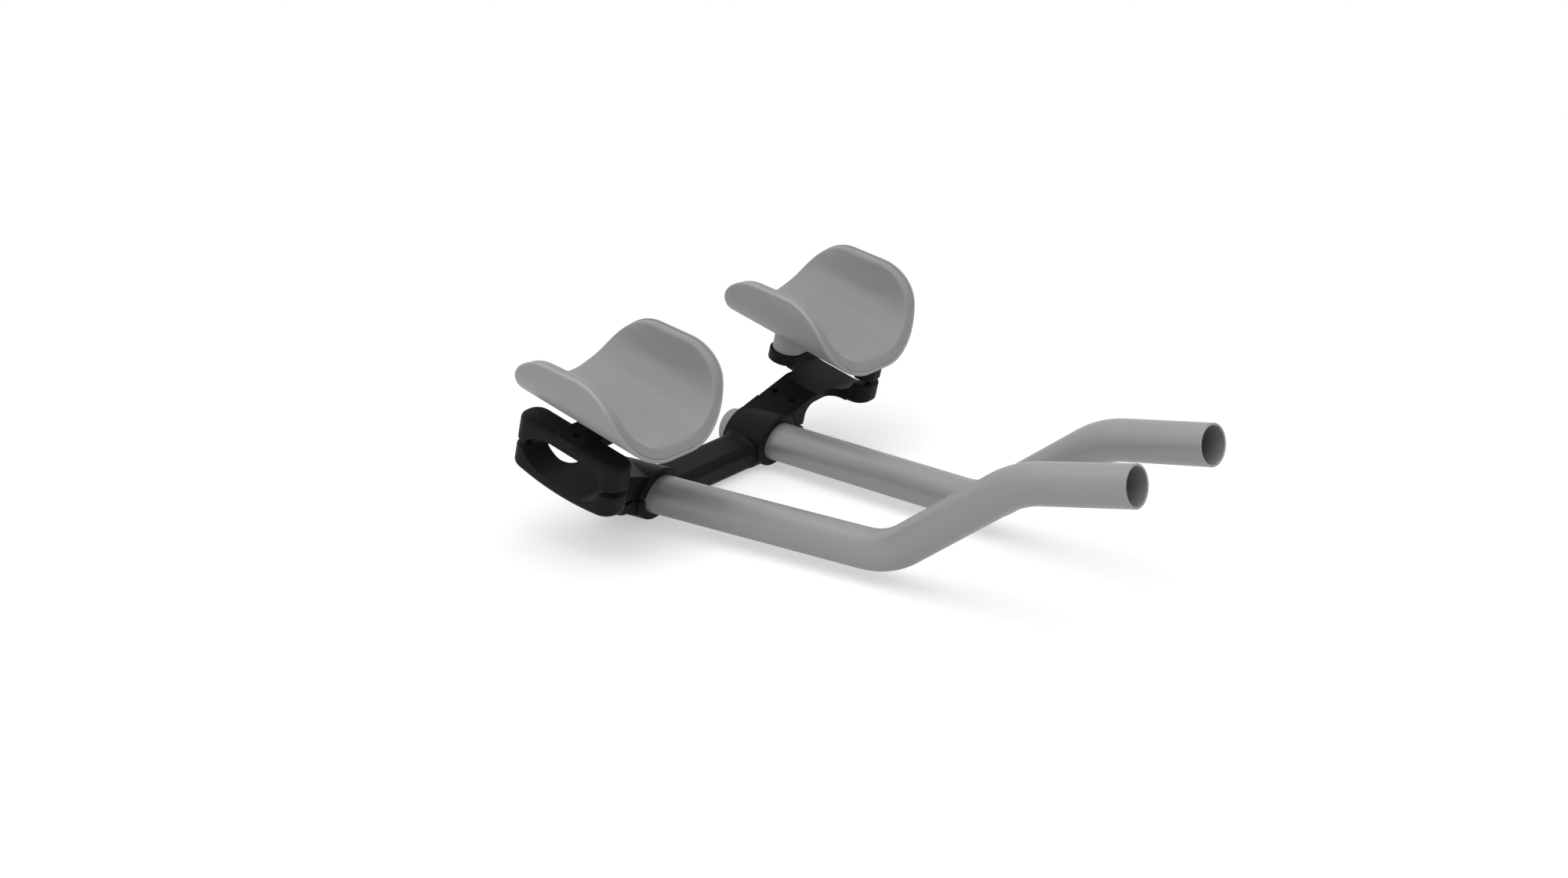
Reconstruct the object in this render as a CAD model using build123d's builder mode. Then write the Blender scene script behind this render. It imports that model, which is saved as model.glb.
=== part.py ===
"""Clip-on aero handlebar extension: bar clamps, centre bridge, S-bend tubes and armrests.

Millimetres and degrees. X runs across the bike towards the rider's left, -Y is forward and Z is up.
The origin is on the handlebar's axis, midway between the two bar clamps. The first run of each tube is
level. The clamp set is tilted nose down with the handlebar's flat top, so most of it is drawn in the
tilted clamp frame: x across, y rearwards and h upwards from the bar's axis.
"""
from build123d import *
from math import cos, hypot, radians, sin, tan
import os

os.makedirs("parts", exist_ok=True)

# Bar clamps
clamp_pitch = 14.6  # nose-down tilt of the clamp frame
clamp_spacing = 215.6  # between the middles of the two clamps
clamp_width = 18.5
clamp_length = 72.0
clamp_corner = 8.0  # corner radius seen from above
clamp_gap = 3.2  # between the upper and the lower half
clamp_edge = 3.0  # rounding of the outer top and bottom edges
split_edge = 0.8  # rounding of the edges beside the gap
upper_rise = 16.8  # bar's axis to the top of the upper half
lower_drop = 16.9  # bar's axis to the lowest point of the lower half
lower_bow = 3.9  # how far the lower half's ends rise above its lowest point

# Opening for the handlebar's flat section
bar_height = 20.4
bar_nose = 27.5  # reach ahead of the bar's axis
bar_tail = 27.5  # reach behind it
nose_round = 13.0  # length of the rounded nose
tail_round = 21.0  # length of the tapering tail

# Armrest ledge on the upper clamp
ledge_length = 62.0
ledge_width = 20.0
ledge_overrun = 1.15  # slot's round outer end past the clamp's outer side, cut off there
ledge_thickness = 6.2
ledge_raise = 0.8  # ledge's top above the clamp's top
ledge_edge = 0.7
ledge_hole_pitch = 20.6  # three tapped holes, the outermost on the clamp's middle

# Extension tubes
tube_diameter = 22.2
tube_wall = 1.3
tube_spacing = 104.8  # between the tubes' axes at their rear ends
tube_drop = 33.2  # bar's axis down to the level first run
tube_rear = 26.6  # rear end behind the bar's axis
tube_toe = 3.1  # each tube turns in towards the front
first_run = 185.3
rise_run = 95.3
tip_run = 67.0
rise_angle = 35.9
tip_angle = 10.9
first_bend = 45.0
second_bend = 60.0
tube_end_edge = 0.4

# Centre bridge
hook_wall = 4.2  # round the tube
hook_front = 17.0  # hook's faces ahead of and behind the bar's axis
hook_rear = 12.0
hook_edge = 1.2
bore_clearance = 0.05
jaw_front = 14.5  # front of the arm, the shoulder and the lip
seam_out = 10.4  # top of the ramp, outboard of the tube's axis
seam_rise = 17.0  # top of the ramp above the tube's axis
ramp_out = 19.6  # foot of the ramp, outboard of the tube's axis
crown_in = 1.5  # inboard end of the shoulder's sloping top
crown_round = 10.0
cheek_in = 11.0  # shoulder's inboard foot, measured the same way
cheek_rise = 6.6
slit_rise = 4.1  # slit above the tube's axis
slit_gap = 1.6
lip_reach = 25.6  # lip's outboard end from the tube's axis
lip_end = 4.2  # lip's thickness there
beam_depth = 22.0
beam_height = 16.0
beam_round = 5.0
beam_drop = 5.3  # beam's middle below the tube's axis
flare_length = 5.5  # beam's ends curve up into the hooks over this length
flare_rise = 3.5
flare_widen = 1.6
flare_sink = 1.2  # end of that curve inside the hook's barrel
flare_shares = (0.45, 0.75, 0.96)  # sections along the curve

# Arm between the lower clamp and the bridge
arm_slope = 17.2  # top falls towards the bridge
arm_rear = 10.4  # rear edge behind the bar's axis
arm_under = 16.6  # underside at the jaw, below the bar's axis
arm_edge = 1.2
jaw_round = 6.5
root_front = 24.0
root_rear = 20.0
root_sink = 5.0  # the arm's root runs this far into the clamp
root_rise = 2.0  # the arm's underside there, above the clamp's lowest point
root_round = 8.0
seam_gap = 0.15

# Screws, with threads drawn at their core diameter
m5_nominal = 5.0
m5_core = 4.1
m5_hole = 5.5
m5_head = 8.5
m5_socket = 4.0
m4_nominal = 4.0
m4_core = 3.2
m4_hole = 4.4
m4_head = 7.0
m4_socket = 3.0
tap_clearance = 0.1  # tapped hole over the thread's core
counterbore_clearance = 0.6
head_edge = 0.4
clamp_bolt_inset = 5.0  # bar clamp's screws from the ends of the clamp
clamp_bolt_seat = 5.2  # lower half under the screw's head
clamp_bolt_length = 18.0
bridge_bolt_out = 19.1  # bridge's screws outboard of the tube's axis
bridge_bolt_pitch = 12.7
bridge_bolt_ahead = 1.3  # their middle ahead of the bar's axis
bridge_bolt_seat = 4.0  # lip under the screw's head
bridge_bolt_sink = 3.0  # screw's end below the arm's top

# Armrest cup and pad, measured from the cup's underside
cup_shift = 3.1  # cup's middle inboard of the ledge's middle hole
cup_lift = 5.2  # cup's underside above the ledge
cup_flat = 15.7  # width of the flat bottom
cup_radius = 38.2
cup_wall = 2.2
cup_front = 52.7  # reach ahead of the bar's axis at the bottom
cup_rear = 38.5
cup_top_front = 28.8  # the same at the top, before its corners are rounded
cup_top_rear = 31.0
cup_high_front = 41.2
cup_high_rear = 35.8
cup_front_corner = 29.3
cup_rear_corner = 26.9
cup_edge = 1.3  # rounding of the outer rim
foot_length = 38.0
foot_width = 18.0
foot_seat = 3.0  # foot under the washers
washer_diameter = 10.0
washer_thickness = 1.0
button_head = 9.5
button_rise = 2.75
button_round = 1.9
button_socket = 3.0
armrest_bolt_sink = 0.6  # screw's end above the ledge's underside
strip_thickness = 0.6
strip_clearance = 0.1  # on each side of the strip
strip_length = 16.0
strip_apart = 16.0  # between the front and the rear strip on the bottom
strip_width = 30.0
strip_side_length = 32.0
strip_side_low = 12.0
strip_side_high = 28.0
pad_thickness = 5.0
pad_setback = 0.3  # pad's rim inside the cup's rim
pad_round = 1.6  # rounding of the pad's inner rim
pad_back_edge = 0.6

# Frames
pitch = radians(clamp_pitch)
toe = radians(tube_toe)
clamp = Plane((0, 0, 0), x_dir=(1, 0, 0), z_dir=(0, -sin(pitch), cos(pitch)))
upward = Axis((0, 0, 0), clamp.z_dir)
tube_start = Vector(tube_spacing / 2, tube_rear, -tube_drop)
tube_ahead = Vector(-sin(toe), -cos(toe), 0)
tube_side = Plane(tube_start, x_dir=tube_ahead, z_dir=tube_ahead.cross(Vector(0, 0, 1)))
tube_section = Plane(tube_start, z_dir=tube_ahead)


def across(x):
    """Plane square to the bar at x: local x runs rearwards and local y runs up."""
    return Plane(clamp.from_local_coords((x, 0, 0)), x_dir=clamp.y_dir, z_dir=clamp.x_dir)


def facing(ahead):
    """Plane that faces forward, ahead of the bar's axis: local x runs across and local y runs up."""
    return Plane(clamp.from_local_coords((0, -ahead, 0)), x_dir=clamp.x_dir, z_dir=-clamp.y_dir)


def tube_at(ahead):
    """Tube's axis in the clamp frame, as x and h, at a distance ahead of the bar's axis."""
    start = clamp.to_local_coords(tube_start)
    step = clamp.to_local_coords(tube_start + tube_ahead) - start
    run = (-ahead - start.Y) / step.Y
    return start.X + run * step.X, start.Z + run * step.Z


# Places in the clamp frame
clamp_x = clamp_spacing / 2
clamp_inner = clamp_x - clamp_width / 2
clamp_outer = clamp_x + clamp_width / 2
clamp_bolt_y = clamp_length / 2 - clamp_bolt_inset
ledge_top = upper_rise + ledge_raise
ledge_x = clamp_x - ledge_hole_pitch
ledge_middle = clamp_outer + ledge_overrun - ledge_length / 2
hook_middle = (hook_front - hook_rear) / 2
hook_x, hook_h = tube_at(hook_middle)
hook_radius = tube_diameter / 2 + hook_wall
slit_low = hook_h + slit_rise - slit_gap / 2
slit_top = slit_low + slit_gap
seam_x = hook_x + seam_out
seam_h = hook_h + seam_rise
lip_x = hook_x + lip_reach
bridge_bolt_x = hook_x + bridge_bolt_out
bridge_bolt_points = [
    (bridge_bolt_x, -bridge_bolt_ahead - bridge_bolt_pitch / 2),
    (bridge_bolt_x, -bridge_bolt_ahead + bridge_bolt_pitch / 2),
]
clamp_bolt_points = [(clamp_x, -clamp_bolt_y), (clamp_x, clamp_bolt_y)]
armrest_bolt_points = [(ledge_x - ledge_hole_pitch, 0), (ledge_x, 0)]
cup_x = ledge_x - cup_shift
cup_base = ledge_top + cup_lift
clamp_seat_h = -clamp_gap / 2 - clamp_bolt_seat
bridge_seat_h = slit_low - bridge_bolt_seat


def arm_top(x):
    """Height of the arm's sloping top, which the bridge's shoulder continues."""
    return seam_h + (x - seam_x) * tan(radians(arm_slope))


def keep_pair(left_part, name):
    """Writes a left-hand piece and its mirror image."""
    left_part.label = f"left_{name}"
    export_step(left_part, f"parts/left_{name}.step")
    with BuildPart() as right_piece:
        mirror(left_part, about=Plane.YZ)
    right_piece.part.label = f"right_{name}"
    export_step(right_piece.part, f"parts/right_{name}.step")


# Section of the opening for the handlebar, drawn at the hook and run out past the clamp
with BuildSketch(across(hook_x)) as bar_opening:
    half_height = bar_height / 2
    nose_middle = nose_round - bar_nose
    tail_middle = bar_tail - tail_round
    with BuildLine():
        EllipticalCenterArc((nose_middle, 0), nose_round, half_height, start_angle=90, arc_size=180)
        EllipticalCenterArc((tail_middle, 0), tail_round, half_height, start_angle=270, arc_size=180)
        Line((nose_middle, half_height), (tail_middle, half_height))
        Line((nose_middle, -half_height), (tail_middle, -half_height))
    make_face()
bar_run = clamp_outer + clamp_width - hook_x

# Armrest ledge, drawn level: slot-shaped plate that ends flush with the clamp's outer side
with BuildPart() as ledge:
    with BuildSketch():
        with Locations((ledge_middle, 0)):
            SlotOverall(ledge_length, ledge_width)
        with Locations((clamp_outer, 0)):
            Rectangle(2 * ledge_length, ledge_width, align=(Align.MAX, Align.CENTER), mode=Mode.INTERSECT)
    extrude(amount=ledge_thickness)
    fillet(ledge.faces().sort_by(Axis.Z)[-1].edges(), ledge_edge)

# Upper clamp with its armrest ledge
with BuildPart() as upper_clamp:
    with BuildSketch(clamp.offset(clamp_gap / 2)):
        with Locations((clamp_x, 0)):
            RectangleRounded(clamp_width, clamp_length, clamp_corner)
    extrude(amount=upper_rise - clamp_gap / 2)
    fillet(upper_clamp.faces().sort_by(upward)[-1].edges(), clamp_edge)
    fillet(upper_clamp.faces().sort_by(upward)[0].edges(), split_edge)
    with Locations(clamp.offset(ledge_top - ledge_thickness)):
        add(ledge.part)
    extrude(bar_opening.sketch, amount=bar_run, mode=Mode.SUBTRACT)
    with BuildSketch(clamp.offset(ledge_top)):
        with Locations((ledge_x, 0)):
            with GridLocations(ledge_hole_pitch, 0, 3, 1):
                Circle((m5_core + tap_clearance) / 2)
    extrude(amount=-upper_rise, mode=Mode.SUBTRACT)
    with BuildSketch(clamp.offset(clamp_gap / 2)):
        with Locations(*clamp_bolt_points):
            Circle((m4_core + tap_clearance) / 2)
    extrude(amount=clamp_seat_h + clamp_bolt_length, mode=Mode.SUBTRACT)
keep_pair(upper_clamp.part, "upper_clamp")

# Arm: outline seen from above, cut to its profile seen from the front
half_length = clamp_length / 2
with BuildPart() as arm:
    root_x = clamp_inner + root_sink
    root_drop = lower_drop - root_rise
    with BuildSketch(clamp.offset(-clamp_length / 2)):
        with BuildLine():
            FilletPolyline(
                (hook_x, -jaw_front),
                (clamp_inner, -jaw_front),
                (clamp_inner, -root_front),
                (root_x, -root_front),
                (root_x, root_rear),
                (clamp_inner, root_rear),
                (clamp_inner, arm_rear),
                (hook_x, arm_rear),
                radius=[0, root_round, 0, 0, 0, 0, root_round, 0],
                close=True,
            )
        make_face()
    extrude(amount=clamp_length)
    with BuildSketch(facing(-clamp_length / 2)):
        with BuildLine():
            FilletPolyline(
                (seam_x + seam_gap, arm_top(seam_x + seam_gap)),
                (root_x, arm_top(root_x)),
                (root_x, -root_drop),
                (lip_x, -arm_under),
                (lip_x, slit_top),
                (hook_x + ramp_out + seam_gap, slit_top),
                radius=[0, 0, 0, jaw_round, 0, 0],
                close=True,
            )
        make_face()
    extrude(amount=clamp_length, mode=Mode.INTERSECT)
    long_edges = arm.edges().filter_by(lambda e: e.length > lip_end)
    crosswise = long_edges.filter_by(lambda e: abs(e.tangent_at(0.5).X) > sin(pitch))
    fillet(crosswise.filter_by(lambda e: clamp.to_local_coords(e @ 0.5).X < clamp_inner), arm_edge)

# Lower clamp: bowed half of the bar clamp with the arm
with BuildPart() as lower_clamp:
    with BuildSketch(across(clamp_inner)):
        with BuildLine():
            Polyline(
                (-half_length, -lower_drop + lower_bow),
                (-half_length, -clamp_gap / 2),
                (half_length, -clamp_gap / 2),
                (half_length, -lower_drop + lower_bow),
            )
            ThreePointArc(
                (half_length, -lower_drop + lower_bow),
                (0, -lower_drop),
                (-half_length, -lower_drop + lower_bow),
            )
        make_face()
    extrude(amount=clamp_width)
    fillet(lower_clamp.edges().filter_by(upward), clamp_corner)
    fillet(lower_clamp.faces().sort_by(upward)[0].edges(), clamp_edge)
    fillet(lower_clamp.faces().sort_by(upward)[-1].edges(), split_edge)
    add(arm.part)
    extrude(bar_opening.sketch, amount=bar_run, mode=Mode.SUBTRACT)
    with BuildSketch(clamp.offset(-clamp_gap / 2)):
        with Locations(*clamp_bolt_points):
            Circle(m4_hole / 2)
    extrude(amount=-lower_drop, mode=Mode.SUBTRACT)
    with BuildSketch(clamp.offset(clamp_seat_h)):
        with Locations(*clamp_bolt_points):
            Circle((m4_head + counterbore_clearance) / 2)
    extrude(amount=-lower_drop, mode=Mode.SUBTRACT)
    with BuildSketch(clamp.offset(slit_top)):
        with Locations(*bridge_bolt_points):
            Circle((m5_core + tap_clearance) / 2)
    extrude(amount=lower_drop - slit_top, mode=Mode.SUBTRACT)
keep_pair(lower_clamp.part, "lower_clamp")

# Barrel of the bridge's hook, along the tube and cut square to the clamp frame
with BuildPart() as hook_barrel:
    with BuildSketch(tube_section):
        Circle(hook_radius)
    extrude(amount=first_run / 2)
    extrude(hook_barrel.faces().sort_by(Axis((0, 0, 0), tube_ahead))[0], amount=first_run / 2)
    split(bisect_by=facing(hook_front), keep=Keep.BOTTOM)
    split(bisect_by=facing(-hook_rear), keep=Keep.TOP)
    fillet(hook_barrel.edges().filter_by(GeomType.ELLIPSE), hook_edge)

# Centre bridge: beam, two hooks with a shoulder for the arm, and two lips below the slits
with BuildPart() as centre_bridge:
    beam_plane = Plane(
        clamp.from_local_coords((0, -hook_middle, hook_h - beam_drop)), x_dir=clamp.y_dir, z_dir=clamp.x_dir
    )
    flare_start = hook_x - hook_radius + flare_sink - flare_length
    with BuildSketch(beam_plane):
        RectangleRounded(beam_depth, beam_height, beam_round)
    extrude(amount=flare_start)
    with BuildSketch(beam_plane.offset(flare_start)):
        RectangleRounded(beam_depth, beam_height, beam_round)
    for share in flare_shares:
        growth = 1 - (1 - share**2) ** 0.5
        with BuildSketch(beam_plane.offset(flare_start + flare_length * share)) as flare_section:
            with Locations((0, flare_rise * growth / 2)):
                RectangleRounded(
                    beam_depth + flare_widen * growth, beam_height + flare_rise * growth, beam_round
                )
    loft()
    extrude(flare_section.sketch, amount=hook_radius / 2)
    add(hook_barrel.part)
    lip_root_h = tube_at(jaw_front)[1] - hook_radius
    with BuildSketch(facing(-arm_rear)):
        with BuildLine():
            FilletPolyline(
                (hook_x + ramp_out, slit_top),
                (seam_x, seam_h),
                (hook_x - crown_in, arm_top(hook_x - crown_in)),
                (hook_x - cheek_in, hook_h + cheek_rise),
                (hook_x - cheek_in, slit_top),
                radius=[0, 0, crown_round, 0, 0],
                close=True,
            )
        make_face()
        with BuildLine():
            Polyline(
                (hook_x, slit_low),
                (lip_x, slit_low),
                (lip_x, slit_low - lip_end),
                (hook_x, lip_root_h),
                close=True,
            )
        make_face()
    extrude(amount=arm_rear + jaw_front)
    with BuildSketch(tube_section):
        Circle(tube_diameter / 2 + bore_clearance)
    extrude(amount=first_run / 2, both=True, mode=Mode.SUBTRACT)
    with BuildSketch(facing(-first_run / 2)):
        with Locations((hook_x, slit_low)):
            Rectangle(lip_reach + clamp_width, slit_gap, align=(Align.MIN, Align.MIN))
    extrude(amount=first_run, mode=Mode.SUBTRACT)
    with BuildSketch(clamp.offset(arm_top(seam_x))):
        with Locations(*bridge_bolt_points):
            Circle(m5_hole / 2)
    extrude(amount=bridge_seat_h - hook_radius - arm_top(seam_x), mode=Mode.SUBTRACT)
    with BuildSketch(clamp.offset(bridge_seat_h)):
        with Locations(*bridge_bolt_points):
            Circle((m5_head + counterbore_clearance) / 2)
    extrude(amount=-hook_radius, mode=Mode.SUBTRACT)
    mirror(about=Plane.YZ)
centre_bridge.part.label = "centre_bridge"
export_step(centre_bridge.part, "parts/centre_bridge.step")

# Extension tube: level grip run, rise and tip
with BuildPart() as extension_tube:
    rise = radians(rise_angle)
    tip = radians(tip_angle)
    rise_end = (first_run + rise_run * cos(rise), rise_run * sin(rise))
    tip_end = (rise_end[0] + tip_run * cos(tip), rise_end[1] + tip_run * sin(tip))
    with BuildLine(tube_side) as tube_path:
        FilletPolyline((0, 0), (first_run, 0), rise_end, tip_end, radius=[first_bend, second_bend])
    with BuildSketch(tube_section):
        Circle(tube_diameter / 2)
        Circle(tube_diameter / 2 - tube_wall, mode=Mode.SUBTRACT)
    sweep(path=tube_path.wires()[0])
    fillet(extension_tube.faces().filter_by(GeomType.PLANE).edges(), tube_end_edge)
keep_pair(extension_tube.part, "extension_tube")


def socket_screws(points, seat, head, nominal, core, socket, grip_end, thread_end):
    """Cap screws at the points of the clamp frame, heads below the seat and threads upwards."""
    with BuildPart() as screws:
        with BuildSketch(clamp.offset(seat)):
            with Locations(*points):
                Circle(head / 2)
        extrude(amount=-nominal)
        chamfer(screws.edges().group_by(upward)[0], head_edge)
        with BuildSketch(clamp.offset(seat - nominal)):
            with Locations(*points):
                RegularPolygon(socket / 2, 6, major_radius=False)
        extrude(amount=nominal / 2, mode=Mode.SUBTRACT)
        with BuildSketch(clamp.offset(seat)):
            with Locations(*points):
                Circle(nominal / 2)
        extrude(amount=grip_end - seat)
        with BuildSketch(clamp.offset(grip_end)):
            with Locations(*points):
                Circle(core / 2)
        extrude(amount=thread_end - grip_end)
        chamfer(screws.edges().group_by(upward)[-1], head_edge)
    return screws.part


keep_pair(
    socket_screws(
        clamp_bolt_points,
        clamp_seat_h,
        m4_head,
        m4_nominal,
        m4_core,
        m4_socket,
        -clamp_gap / 2,
        clamp_seat_h + clamp_bolt_length,
    ),
    "bar_clamp_bolts",
)
keep_pair(
    socket_screws(
        bridge_bolt_points,
        bridge_seat_h,
        m5_head,
        m5_nominal,
        m5_core,
        m5_socket,
        slit_low,
        arm_top(bridge_bolt_x) - bridge_bolt_sink,
    ),
    "bridge_bolts",
)


def cradle(inset):
    """Filled U of the armrest seen from the front, drawn inside its outer skin by the inset."""
    radius = cup_radius - inset
    half_flat = cup_flat / 2
    high = 2 * cup_high_front
    with BuildSketch() as fill:
        with BuildLine():
            Polyline(
                (half_flat + radius, cup_radius),
                (half_flat + radius, high),
                (-half_flat - radius, high),
                (-half_flat - radius, cup_radius),
            )
            CenterArc((-half_flat, cup_radius), radius, 180, 90)
            Line((-half_flat, inset), (half_flat, inset))
            CenterArc((half_flat, cup_radius), radius, 270, 90)
        make_face()
    return fill.sketch


def armrest_side(setback):
    """Side outline of the armrest, local x rearwards, with its rim drawn in by the setback."""
    with BuildSketch() as outline:
        with BuildLine():
            FilletPolyline(
                (setback - cup_front, 0),
                (setback - cup_top_front, cup_high_front - setback),
                (cup_top_rear - setback, cup_high_rear - setback),
                (cup_rear - setback, 0),
                radius=[0, cup_front_corner, cup_rear_corner, 0],
                close=True,
            )
        make_face()
    return outline.sketch


cup_length = cup_front + cup_rear
cradle_back = Plane(
    clamp.from_local_coords((cup_x, cup_rear, cup_base)), x_dir=clamp.x_dir, z_dir=-clamp.y_dir
)
armrest_middle = Plane(clamp.from_local_coords((cup_x, 0, cup_base)), x_dir=clamp.y_dir, z_dir=clamp.x_dir)


def rim_edges(edges):
    """Edges round an armrest's rim: all but the seams along its skin and the short ones across its wall."""
    return edges - edges.filter_by(Axis((0, 0, 0), clamp.y_dir)) - edges.filter_by(Axis.X)


def skin_depth(edge):
    """How deep an edge's middle lies inside the cup's outer skin."""
    spot = cradle_back.to_local_coords(edge @ 0.5)
    out = abs(spot.X) - cup_flat / 2
    if spot.Y > cup_radius:
        return cup_radius - out
    if out < 0:
        return spot.Y
    return cup_radius - hypot(out, cup_radius - spot.Y)


ledge_plane = clamp.offset(ledge_top)

# Armrest cup: U-shaped shell on a foot
with BuildPart() as armrest_cup:
    with BuildSketch(cradle_back):
        add(cradle(0))
    extrude(amount=cup_length)
    with BuildSketch(armrest_middle):
        add(armrest_side(0))
    extrude(amount=cup_radius + cup_flat, both=True, mode=Mode.INTERSECT)
    with BuildSketch(cradle_back):
        add(cradle(cup_wall))
    extrude(amount=cup_length, mode=Mode.SUBTRACT)
    rim = rim_edges(armrest_cup.edges())
    fillet(rim.filter_by(lambda e: skin_depth(e) < cup_wall / 2), cup_edge)
    with BuildSketch(ledge_plane):
        with Locations((ledge_x - ledge_hole_pitch / 2, 0)):
            SlotOverall(foot_length, foot_width)
    extrude(amount=cup_lift + cup_radius / 2)
    with BuildSketch(cradle_back):
        add(cradle(cup_wall))
    extrude(amount=cup_length, mode=Mode.SUBTRACT)
    with BuildSketch(ledge_plane):
        with Locations(*armrest_bolt_points):
            Circle(m5_hole / 2)
    extrude(amount=cup_radius, mode=Mode.SUBTRACT)
    with BuildSketch(ledge_plane.offset(foot_seat)):
        with Locations(*armrest_bolt_points):
            Circle((washer_diameter + counterbore_clearance) / 2)
    extrude(amount=cup_radius, mode=Mode.SUBTRACT)
keep_pair(armrest_cup.part, "armrest_cup")

# Washers under the armrest's screws
with BuildPart() as armrest_washers:
    with BuildSketch(ledge_plane.offset(foot_seat)):
        with Locations(*armrest_bolt_points):
            Circle(washer_diameter / 2)
            Circle(m5_hole / 2, mode=Mode.SUBTRACT)
    extrude(amount=washer_thickness)
keep_pair(armrest_washers.part, "armrest_washers")

# Button-head screws of the armrest
with BuildPart() as armrest_bolts:
    button_seat = foot_seat + washer_thickness
    with BuildSketch(ledge_plane.offset(button_seat)):
        with Locations(*armrest_bolt_points):
            Circle(button_head / 2)
    extrude(amount=button_rise)
    fillet(armrest_bolts.edges().group_by(upward)[-1], button_round)
    with BuildSketch(ledge_plane.offset(button_seat + button_rise)):
        with Locations(*armrest_bolt_points):
            RegularPolygon(button_socket / 2, 6, major_radius=False)
    extrude(amount=-button_rise / 2, mode=Mode.SUBTRACT)
    with BuildSketch(ledge_plane.offset(button_seat)):
        with Locations(*armrest_bolt_points):
            Circle(m5_nominal / 2)
    extrude(amount=-button_seat)
    with BuildSketch(ledge_plane):
        with Locations(*armrest_bolt_points):
            Circle(m5_core / 2)
    extrude(amount=armrest_bolt_sink - ledge_thickness)
keep_pair(armrest_bolts.part, "armrest_bolts")

# Hook-and-loop strips between cup and pad: two on the bottom and one on each side
strip_inset = cup_wall + strip_clearance
with BuildPart() as pad_strips:
    for start in (cup_rear - strip_apart / 2 - strip_length, cup_rear + strip_apart / 2):
        with BuildSketch(cradle_back.offset(start)):
            add(cradle(strip_inset))
            add(cradle(strip_inset + strip_thickness), mode=Mode.SUBTRACT)
            Rectangle(strip_width, cup_radius, align=(Align.CENTER, Align.MIN), mode=Mode.INTERSECT)
        extrude(amount=strip_length)
    with BuildSketch(cradle_back.offset(cup_rear - strip_side_length / 2)):
        add(cradle(strip_inset))
        add(cradle(strip_inset + strip_thickness), mode=Mode.SUBTRACT)
        with Locations((0, strip_side_low)):
            Rectangle(
                4 * cup_radius,
                strip_side_high - strip_side_low,
                align=(Align.CENTER, Align.MIN),
                mode=Mode.INTERSECT,
            )
    extrude(amount=strip_side_length)
keep_pair(pad_strips.part, "pad_strips")

# Foam pad that lines the cup
pad_inset = strip_inset + strip_thickness + strip_clearance
with BuildPart() as armrest_pad:
    with BuildSketch(cradle_back):
        add(cradle(pad_inset))
    extrude(amount=cup_length)
    with BuildSketch(armrest_middle):
        add(armrest_side(pad_setback))
    extrude(amount=cup_radius + cup_flat, both=True, mode=Mode.INTERSECT)
    with BuildSketch(cradle_back):
        add(cradle(pad_inset + pad_thickness))
    extrude(amount=cup_length, mode=Mode.SUBTRACT)
    rim = rim_edges(armrest_pad.edges())
    inner_rim = rim.filter_by(lambda e: skin_depth(e) > pad_inset + pad_thickness / 2)
    fillet(inner_rim, pad_round)
    rim = rim_edges(armrest_pad.edges())
    outer_rim = rim.filter_by(lambda e: skin_depth(e) < pad_inset + pad_back_edge / 2)
    fillet(outer_rim, pad_back_edge)
keep_pair(armrest_pad.part, "armrest_pad")
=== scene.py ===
"""Looks of a clip-on aero handlebar extension: satin black clamp set, grey tubes and padded armrests."""

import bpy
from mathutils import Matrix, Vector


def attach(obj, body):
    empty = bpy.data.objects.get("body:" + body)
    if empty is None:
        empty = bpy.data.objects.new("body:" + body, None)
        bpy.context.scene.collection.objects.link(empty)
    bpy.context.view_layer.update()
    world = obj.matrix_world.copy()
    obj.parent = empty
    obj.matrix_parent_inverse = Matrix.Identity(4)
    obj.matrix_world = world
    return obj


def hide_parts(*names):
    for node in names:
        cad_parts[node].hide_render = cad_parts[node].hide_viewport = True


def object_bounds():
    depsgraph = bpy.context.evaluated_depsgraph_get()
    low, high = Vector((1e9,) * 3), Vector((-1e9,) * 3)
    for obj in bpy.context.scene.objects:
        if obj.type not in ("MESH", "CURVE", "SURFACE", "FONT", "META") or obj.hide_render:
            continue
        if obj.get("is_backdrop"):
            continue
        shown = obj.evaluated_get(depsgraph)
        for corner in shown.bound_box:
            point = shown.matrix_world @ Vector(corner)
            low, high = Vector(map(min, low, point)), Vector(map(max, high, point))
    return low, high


bl_info = {
    "name": "Aero Handlebar Extension",
    "version": (1, 0, 0),
    "blender": (4, 5, 0),
    "location": "3D View > Sidebar > Extension",
    "description": "Finishes, armrest cushions and studio of a clip-on aero handlebar extension",
    "category": "Object",
}

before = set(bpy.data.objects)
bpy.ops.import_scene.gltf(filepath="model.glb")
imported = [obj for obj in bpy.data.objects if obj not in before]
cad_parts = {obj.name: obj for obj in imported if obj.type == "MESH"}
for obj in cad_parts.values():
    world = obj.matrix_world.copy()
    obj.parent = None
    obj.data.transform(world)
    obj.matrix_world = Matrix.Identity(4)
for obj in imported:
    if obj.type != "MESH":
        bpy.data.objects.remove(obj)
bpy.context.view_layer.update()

import math

import bpy
import numpy as np
from mathutils import Vector

MM = 0.001
SIDES = ("left", "right")
CLAMP_PITCH = math.radians(14.6)

# A Mix node's sockets when it mixes colours.
MIX_SHARE, MIX_FIRST, MIX_SECOND, MIX_RESULT = 0, 6, 7, 2

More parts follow.
